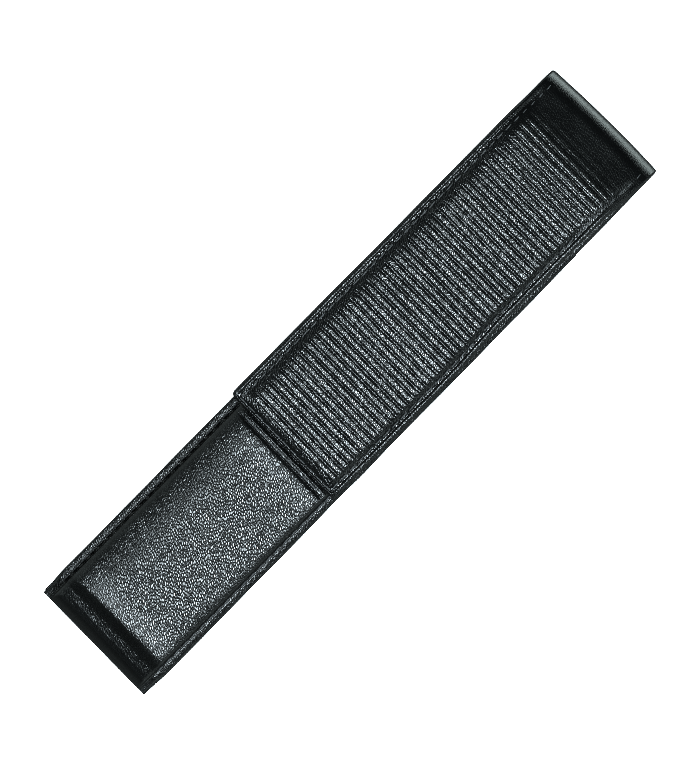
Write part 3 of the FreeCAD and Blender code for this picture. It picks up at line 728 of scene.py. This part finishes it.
def leather(name, cell, depth, dark, light, rough, micro=0.06, cells=0.15, folds=0.15, crown=0.46, valley=0.05, slant=1.25, even=0.75):
    """Black grained leather: pebble cells in flat sheet coordinates, millimetres, drawn out a little on the slant."""
    g = Graph(name)
    uv = g.add("UVMap", {"uv_map": "grain"}).outputs[0]
    turned = g.add("VectorRotate", {"rotation_type": "Z_AXIS"}, Vector=uv, Angle=-math.pi / 4).outputs[0]
    turned = g.vec("MULTIPLY", turned, (slant, 1 / slant, 1.0))
    turned = g.add("VectorRotate", {"rotation_type": "Z_AXIS"}, Vector=turned, Angle=0.55).outputs[0]
    warp = g.noise(uv, 0.9 / cell, 2.0).outputs["Color"]
    warp = g.vec("SCALE", g.vec("SUBTRACT", warp, (0.5, 0.5, 0.5)), scale=0.75 * cell)
    at = g.vec("ADD", turned, warp)
    edge = g.add("TexVoronoi", {"feature": "DISTANCE_TO_EDGE", "voronoi_dimensions": "2D"}, Vector=at, Scale=1 / cell, Randomness=even).outputs["Distance"]
    dome = g.math("SINE", g.ramp(edge, 0.0, crown, 0.0, math.pi / 2, "LINEAR"))
    fold = g.add("TexVoronoi", {"feature": "DISTANCE_TO_EDGE", "voronoi_dimensions": "2D"}, Vector=at, Scale=0.47 / cell).outputs["Distance"]
    fold = g.math("SINE", g.ramp(fold, 0.0, 0.3, 0.0, math.pi / 2, "LINEAR"))
    fine = g.noise(uv, 3.4 / cell, 3.0, 0.6).outputs["Fac"]
    wide = g.noise(uv, 0.16, 3.0, 0.55).outputs["Fac"]
    lumps = g.noise(uv, 1.25 / cell, 1.0, 0.5).outputs["Fac"]
    height = g.math("ADD", dome, g.math("ADD", g.math("MULTIPLY", lumps, cells), g.math("MULTIPLY", fold, folds)))
    height = g.math("ADD", height, g.math("MULTIPLY", fine, micro))
    calm = g.add("Attribute", {"attribute_name": "calm"}).outputs["Fac"]
    bump = g.add("Bump", None, Strength=g.ramp(calm, 0.0, 1.0, 1.0, 0.15, "LINEAR"), Distance=depth * MM, Height=height)
    tone = g.math("ADD", g.math("MULTIPLY", dome, 0.6), g.math("MULTIPLY", wide, 0.5), clamp=True)
    colour = g.mix(tone, dark, light)
    r = g.math("ADD", g.ramp(fine, 0.3, 0.7, rough - 0.05, rough + 0.06), g.ramp(dome, 0.0, 0.6, valley, 0.0))
    r = g.math("ADD", r, g.ramp(wide, 0.3, 0.7, -0.03, 0.04))
    shader = g.add("BsdfPrincipled", None, Base_Color=colour, Roughness=r, Normal=bump.outputs[0])
    shader.inputs["Specular IOR Level"].default_value = 0.5
    return g.surface(shader.outputs[0])


def suede(name, dark, light):
    g = Graph(name)
    uv = g.add("UVMap", {"uv_map": "grain"}).outputs[0]
    nap = g.noise(uv, 0.6, 4.0, 0.6).outputs["Fac"]
    fibre = g.noise(uv, 9.0, 3.0, 0.7).outputs["Fac"]
    height = g.math("ADD", g.math("MULTIPLY", fibre, 0.8), g.math("MULTIPLY", nap, 0.6))
    bump = g.add("Bump", None, Strength=0.7, Distance=0.07 * MM, Height=height)
    colour = g.mix(g.ramp(g.math("ADD", g.math("MULTIPLY", nap, 0.5), g.math("MULTIPLY", fibre, 0.5)), 0.32, 0.68, 0, 1), dark, light)
    shader = g.add("BsdfPrincipled", None, Base_Color=colour, Roughness=g.ramp(fibre, 0.3, 0.7, 0.82, 0.98), Normal=bump.outputs[0])
    shader.inputs["Sheen Weight"].default_value = 0.35
    shader.inputs["Sheen Roughness"].default_value = 0.45
    shader.inputs["Specular IOR Level"].default_value = 0.25
    return g.surface(shader.outputs[0])


def thread_material(name):
    g = Graph(name)
    uv = g.add("UVMap", {"uv_map": "grain"}).outputs[0]
    ply = g.add("TexWave", {"wave_type": "BANDS", "bands_direction": "DIAGONAL"}, Vector=uv, Scale=3.2, Distortion=0.6, Detail=1.0).outputs["Fac"]
    fuzz = g.noise(uv, 11.0, 3.0, 0.7).outputs["Fac"]
    bump = g.add("Bump", None, Strength=0.7, Distance=0.05 * MM, Height=g.math("ADD", ply, g.math("MULTIPLY", fuzz, 0.4)))
    colour = g.mix(ply, (0.02, 0.021, 0.022), (0.07, 0.073, 0.075))
    shader = g.add("BsdfPrincipled", None, Base_Color=colour, Roughness=g.ramp(fuzz, 0.3, 0.7, 0.3, 0.46), Normal=bump.outputs[0])
    shader.inputs["Sheen Weight"].default_value = 0.15
    return g.surface(shader.outputs[0])


def board_material(name):
    g = Graph(name)
    at = g.vec("SCALE", g.add("TexCoord").outputs["Object"], scale=1000.0)
    pulp = g.noise(at, 1.6, 4.0, 0.65).outputs["Fac"]
    fleck = g.noise(at, 7.0, 2.0, 0.6).outputs["Fac"]
    bump = g.add("Bump", None, Strength=0.6, Distance=0.05 * MM, Height=g.math("ADD", pulp, fleck))
    colour = g.mix(g.ramp(g.math("ADD", g.math("MULTIPLY", pulp, 0.6), g.math("MULTIPLY", fleck, 0.4)), 0.35, 0.62, 0, 1),
                   (0.24, 0.215, 0.185), (0.44, 0.41, 0.365))
    shader = g.add("BsdfPrincipled", None, Base_Color=colour, Roughness=g.ramp(pulp, 0.3, 0.7, 0.8, 0.95), Normal=bump.outputs[0])
    return g.surface(shader.outputs[0])


def wadding_material(name):
    g = Graph(name)
    uv = g.add("UVMap", {"uv_map": "grain"}).outputs[0]
    tuft = g.noise(uv, 0.8, 5.0, 0.65).outputs["Fac"]
    fibre = g.add("TexWave", {"wave_type": "BANDS"}, Vector=uv, Scale=1.7, Distortion=9.0, Detail=3.0, Detail_Scale=1.5).outputs["Fac"]
    bump = g.add("Bump", None, Strength=0.8, Distance=0.12 * MM, Height=g.math("ADD", tuft, g.math("MULTIPLY", fibre, 0.35)))
    colour = g.mix(g.ramp(tuft, 0.35, 0.65, 0, 1), (0.5, 0.5, 0.48), (0.74, 0.74, 0.71))
    shader = g.add("BsdfPrincipled", None, Base_Color=colour, Roughness=g.ramp(fibre, 0, 1, 0.85, 1.0), Normal=bump.outputs[0])
    shader.inputs["Sheen Weight"].default_value = 0.3
    return g.surface(shader.outputs[0])


GRAIN = leather("leather_grained", 0.56, 0.068, (0.0024, 0.0027, 0.0028), (0.0056, 0.0063, 0.0066), 0.24, folds=0.08, crown=0.36, valley=0.02, slant=1.55, even=0.9)
RIBBED = leather("leather_ribbed", 0.56, 0.072, (0.0024, 0.0027, 0.0028), (0.0056, 0.0063, 0.0066), 0.18, folds=0.08, crown=0.38, valley=0.02, slant=1.5, even=0.9)
EDGE = leather("leather_edge", 0.5, 0.04, (0.008, 0.008, 0.0085), (0.018, 0.0185, 0.0195), 0.36)
SUEDE = suede("lining_suede", (0.012, 0.012, 0.013), (0.040, 0.040, 0.042))
THREAD = thread_material("thread_black")
BOARD = board_material("greyboard")
WADDING = wadding_material("wadding_fleece")


def dress(obj, material, slot, *nodes):
    obj.data.materials.clear()
    obj.data.materials.append(material)
    if nodes:
        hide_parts(*nodes)
    return obj


def m(*point):
    return tuple(c * MM for c in point)


# --- skins -------------------------------------------------------------------
flap = dress(build_flap_skin(), RIBBED, "ribbed_leather", "flap_leather", "fold_leather")
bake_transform(flap)
back = dress(build_back_skin(), GRAIN, "grained_leather", "back_leather", "fold_leather")
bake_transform(back)
lower = dress(build_front_lower(), GRAIN, "grained_leather", "front_lower_leather")
upper = dress(build_front_upper(), GRAIN, "grained_leather", "front_upper_leather")
roll = dress(build_mouth_roll(), EDGE, "edge_leather", "mouth_binding")
for piece in (lower, upper, roll):
    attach(piece, "sleeve")

# --- linings -----------------------------------------------------------------
flap_lining = dress(build_strip_lining("flap_lining_sheet", 1.0, S_SPLIT - 0.03, 0.95,
                                       lambda s, x: -SKIN - 0.02 - flap_droop(x, s)), SUEDE, "lining", "flap_lining", "fold_lining")
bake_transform(flap_lining)
back_lining = dress(build_strip_lining("back_lining_sheet", S_SPLIT + 0.03, S_BACK + 79.9 + 81.0, 2.1,
                                       lambda s, x: -SKIN - 0.02 - (2.0 - SKIN) * smooth(113.5, 121.5, s)),
                    SUEDE, "lining", "back_lining", "fold_lining")
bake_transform(back_lining)
trough, trough_width = build_front_lining()
dress(trough, SUEDE, "lining", "front_lining")
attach(trough, "sleeve")

# --- padding -----------------------------------------------------------------
pad_x = np.concatenate([np.linspace(-12.1, -10, 8), np.linspace(-9, 9, 13), np.linspace(10, 12.1, 8)])
flap_pad = dress(build_slab("flap_padding", pad_x, np.concatenate([np.linspace(-17.0, -15, 7), np.linspace(-14, 54, 50), np.linspace(54.6, 56.4, 7)]),
                            lambda x, y: 17.34 + 0 * x, lambda x, y: 17.98 + 0 * x, 81), WADDING, "wadding", "flap_wadding")
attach(flap_pad, "flap")
low_x = np.concatenate([np.linspace(-9.3, -8, 6), np.linspace(-7.2, 7.2, 13), np.linspace(8, 9.3, 6)])
low_pad = dress(build_slab("front_padding", low_x, np.concatenate([np.linspace(-71.5, -70, 6), np.linspace(-69, -29, 36), np.linspace(-28.4, -27, 6)]),
                           lambda x, y: 14.95 + 0 * x, lambda x, y: 15.9 + 0 * x, 82), WADDING, "wadding", "front_lower_wadding")
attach(low_pad, "sleeve")

# --- stiffeners keep their shape ---------------------------------------------
for node in ("back_board", "flap_board"):
    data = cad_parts[node].data
    data.materials.clear()
    data.materials.append(BOARD)


# --- stitching ---------------------------------------------------------------
def strip_stitches(name, p, x, across, below, lift):
    """Stitches on the strip at (p, x): along the strip, or across it at the free end."""
    p, x = np.asarray(p, float), np.asarray(x, float)
    s = p - strip_skew(p) * x
    if below:
        up = -SKIN - LIN - flap_droop(x, p) - lift
    else:
        up = flap_up(x, p)[0] + lift
    y, z = on_strip(s, up)
    ny, nz = np.interp(s, S_T, NY_T), np.interp(s, S_T, NZ_T)
    zero = np.zeros_like(ny)
    normal = np.stack([zero, ny, nz], -1) * (-1 if below else 1)
    if across:
        along = np.stack([np.ones_like(ny), -0.027 * nz, 0.027 * ny], -1)
    else:
        along = np.stack([zero, nz, -ny], -1)
    return np.stack([strip_x(s, x), y, z], -1), along, normal


def joined(*sets):
    return [np.concatenate(part) for part in zip(*sets)]


side_p = np.arange(2.6, 103.5, PITCH)
side_lift = 0.1 - 0.23 * smooth(85, 91, side_p)          # pulled in deeper round the fold
end_x = np.linspace(-13.3, 13.3, 11)
for below, name in ((False, "flap_stitches"), (True, "flap_stitches_inside")):
    places = joined(
        strip_stitches(name, side_p, -14.0 + 0 * side_p, False, below, side_lift),
        strip_stitches(name, side_p, 14.35 + 0 * side_p, False, below, side_lift),
        strip_stitches(name, 0.9 + 0 * end_x, end_x, True, below, 0.07))
    piece = dress(thread(name, *places, width=0.27), THREAD, "thread", "flap_thread")
    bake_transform(piece)

hem_q = np.arange(4.4, LOW_LEN + Y_MOUTH - Y_SEAM - 3.4, PITCH)
for sign, side in ((-1, "left"), (1, "right")):
    node = "side_thread_" + side
    y = -80.6 + hem_q
    x = np.full_like(y, sign * (HEM - 1.55))
    z = Z_HEM + side_hem(x, y, 55) - hem_tilt(x) + (0.2 if sign < 0 else 0.12)
    y2 = np.arange(59.2, 77.0, PITCH)
    x2 = np.full_like(y2, sign * (HEM - 1.4))
    z2 = np.full_like(y2, RIM + 0.06)
    places = np.stack([np.concatenate([x, x2]), np.concatenate([y, y2]), np.concatenate([z, z2])], -1)
    along = np.tile([0.0, 1.0, 0.0], (len(places), 1))
    up = np.tile([0.0, 0.0, 1.0], (len(places), 1))
    piece = dress(thread("hem_stitches_" + side, places, along, up), THREAD, "thread", node)
    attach(piece, "sleeve")
    yb = np.arange(-79.4, 77.5, PITCH)
    places = np.stack([np.full_like(yb, sign * (HEM - 1.41)), yb, np.full_like(yb, 0.21)], -1)
    along = np.tile([0.0, 1.0, 0.0], (len(places), 1))
    down = np.tile([0.0, 0.0, -1.0], (len(places), 1))
    piece = dress(thread("back_stitches_" + side, places, along, down, height=0.36), THREAD, "thread", node)
    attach(piece, "sleeve")

hem_x = np.linspace(-10.6, 10.6, 9)
hx, hy, hz = low_place(hem_x, np.interp(-np.abs(hem_x), -SECTION[:, 0], SECTION[:, 1]), 1.17 + 0 * hem_x)
piece = dress(thread("lower_hem_stitches", np.stack([hx, hy, hz + 0.1], -1),
                     np.stack([1 + 0 * hx, -0.027 + 0 * hx, 0 * hx], -1), np.tile([0.0, 0.0, 1.0], (len(hx), 1))),
              THREAD, "thread", "hem_thread")
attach(piece, "sleeve")
mx = np.linspace(-10.6, 10.6, 9)
mg = np.interp(-np.abs(mx), -SECTION[:, 0], SECTION[:, 1])
piece = dress(thread("mouth_stitches", np.stack([mx, Y_MOUTH - 1.4 + 0 * mx, Z_HEM + H_UP * mg - 0.25 - 0.08], -1),
                     np.tile([1.0, 0.0, 0.0], (len(mx), 1)), np.tile([0.0, 0.0, 1.0], (len(mx), 1))),
              THREAD, "thread", "mouth_thread")
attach(piece, "sleeve")

# --- floor, light, camera ------------------------------------------------------
mesh = bpy.data.meshes.new("floor")
f = 2.5
mesh.from_pydata([(-f, -f, -0.0002), (f, -f, -0.0002), (f, f, -0.0002), (-f, f, -0.0002)], [], [(0, 1, 2, 3)])
floor = bpy.data.objects.new("floor", mesh)
scene.collection.objects.link(floor)
g = Graph("floor_white")
paper = g.noise(g.add("TexCoord").outputs["Object"], 40.0, 3.0).outputs["Fac"]
shader = g.add("BsdfPrincipled", None, Base_Color=g.mix(paper, (0.86, 0.86, 0.86), (0.89, 0.89, 0.89)), Roughness=0.9)
shader.inputs["Specular IOR Level"].default_value = 0.1
shader.inputs["Emission Color"].default_value = (1, 1, 1, 1)
shader.inputs["Emission Strength"].default_value = 0.9
mesh.materials.append(g.surface(shader.outputs[0]))
floor.visible_glossy = False
floor.visible_diffuse = False


def area_light(name, place, target, size, power, colour=(1, 1, 1)):
    light = bpy.data.lights.new(name, "AREA")
    light.shape = "RECTANGLE"
    light.size, light.size_y = size
    light.energy = power
    light.color = colour
    obj = bpy.data.objects.new(name, light)
    obj.location = place
    d = np.array(target, float) - np.array(place, float)
    yaw = math.atan2(d[1], d[0]) - math.pi / 2
    pitch = math.atan2(d[2], math.hypot(d[0], d[1]))
    obj.rotation_euler = (math.pi / 2 + pitch, 0, yaw)
    obj.visible_camera = False
    scene.collection.objects.link(obj)
    return obj


area_light("softbox", (0.095, -0.035, 0.62), (0.02, -0.0349, 0.0), (0.28, 0.28), 10.6, (0.86, 0.945, 1.0))

world = bpy.data.worlds.new("studio")
scene.world = world
world.use_nodes = True
tree = world.node_tree
tree.nodes.clear()
coord = tree.nodes.new("ShaderNodeTexCoord")
split = tree.nodes.new("ShaderNodeSeparateXYZ")
tree.links.new(coord.outputs["Generated"], split.inputs[0])


def world_math(op, a, b):
    node = tree.nodes.new("ShaderNodeMath")
    node.operation = op
    for k, v in enumerate((a, b)):
        if isinstance(v, bpy.types.NodeSocket):
            tree.links.new(v, node.inputs[k])
        else:
            node.inputs[k].default_value = v
    return node.outputs[0]


def world_ramp(value, a, b, c, d):
    node = tree.nodes.new("ShaderNodeMapRange")
    node.interpolation_type = "SMOOTHSTEP"
    tree.links.new(value, node.inputs["Value"])
    for key, v in zip(("From Min", "From Max", "To Min", "To Max"), (a, b, c, d)):
        node.inputs[key].default_value = v
    return node.outputs[0]


# a pale card low behind the folded end, dimmer ones along the sides and before the closed end, and a dim room elsewhere
beside = world_math("ABSOLUTE", split.outputs[0], 0.0)
card = world_math("MULTIPLY", world_math("MULTIPLY", world_ramp(split.outputs[1], 0.55, 0.92, 0.0, 1.0), world_ramp(beside, 0.2, 0.45, 1.0, 0.0)),
                  world_math("MULTIPLY", world_ramp(split.outputs[2], -0.8, -0.4, 0.0, 1.0), world_ramp(split.outputs[2], -0.1, 0.15, 1.0, 0.0)))


def strip_light(sign):
    return world_math("MULTIPLY", world_ramp(world_math("MULTIPLY", split.outputs[0], sign), 0.5, 0.72, 0.0, 1.0),
                      world_math("MULTIPLY", world_ramp(split.outputs[2], -0.15, 0.1, 0.0, 1.0), world_ramp(split.outputs[2], 0.3, 0.5, 1.0, 0.0)))


aside = world_math("ADD", world_math("MULTIPLY", strip_light(1.0), 2.4), world_math("MULTIPLY", strip_light(-1.0), 2.2))
ahead = world_math("MULTIPLY", world_ramp(split.outputs[1], -0.9, -0.65, 1.0, 0.0),
                   world_math("MULTIPLY", world_ramp(split.outputs[2], -0.05, 0.12, 0.0, 1.0), world_ramp(split.outputs[2], 0.25, 0.42, 1.0, 0.0)))
aside = world_math("ADD", aside, world_math("MULTIPLY", ahead, 0.75))
towards = world_math("ADD", world_math("MULTIPLY", split.outputs[0], 0.12), world_math("MULTIPLY", split.outputs[2], 0.993))
lobe = world_math("POWER", world_math("MAXIMUM", world_math("DIVIDE", world_math("SUBTRACT", towards, 0.79), 0.21), 0.0), 3.0)
glow = world_math("MULTIPLY", lobe, 8.0)
below = world_math("ADD", world_ramp(split.outputs[2], -0.3, 0.0, 0.16, 0.03),          # light thrown back by the floor
                   world_math("MULTIPLY", world_ramp(split.outputs[2], -0.3, 0.0, 0.4, 0.0), world_ramp(beside, 0.3, 0.6, 0.0, 1.0)))
strength = world_math("ADD", world_math("ADD", world_math("MULTIPLY", card, 5.8), aside), world_math("ADD", glow, below))
background = tree.nodes.new("ShaderNodeBackground")
background.inputs["Color"].default_value = (0.88, 1.0, 0.99, 1)
tree.links.new(strength, background.inputs["Strength"])
output = tree.nodes.new("ShaderNodeOutputWorld")
tree.links.new(background.outputs[0], output.inputs["Surface"])

scene.view_settings.view_transform = "Standard"
scene.view_settings.gamma = 0.7
scene.cycles.use_denoising = False          # it wipes out fine grain
scene.cycles.filter_width = 1.0

# Straight down, turned so that +y points up and to the right at 45.5 degrees.
PX = 4.455                                       # pixels per millimetre
camera = bpy.data.cameras.new("camera")
camera.lens = 250.0
camera.sensor_width = 36.0
turn = math.radians(90 - 45.53)
span = 770 / PX * MM
distance = span / 2 / math.tan(math.atan(18.0 / 250.0))
right = np.array([math.cos(turn), math.sin(turn)])
upward = np.array([-math.sin(turn), math.cos(turn)])
shift = (0.5 * right - 2.5 * upward) / PX * MM
eye = bpy.data.objects.new("camera", camera)
eye.location = (shift[0], shift[1], distance + 0.012)
eye.rotation_euler = (0, 0, turn)
scene.collection.objects.link(eye)
scene.camera = eye
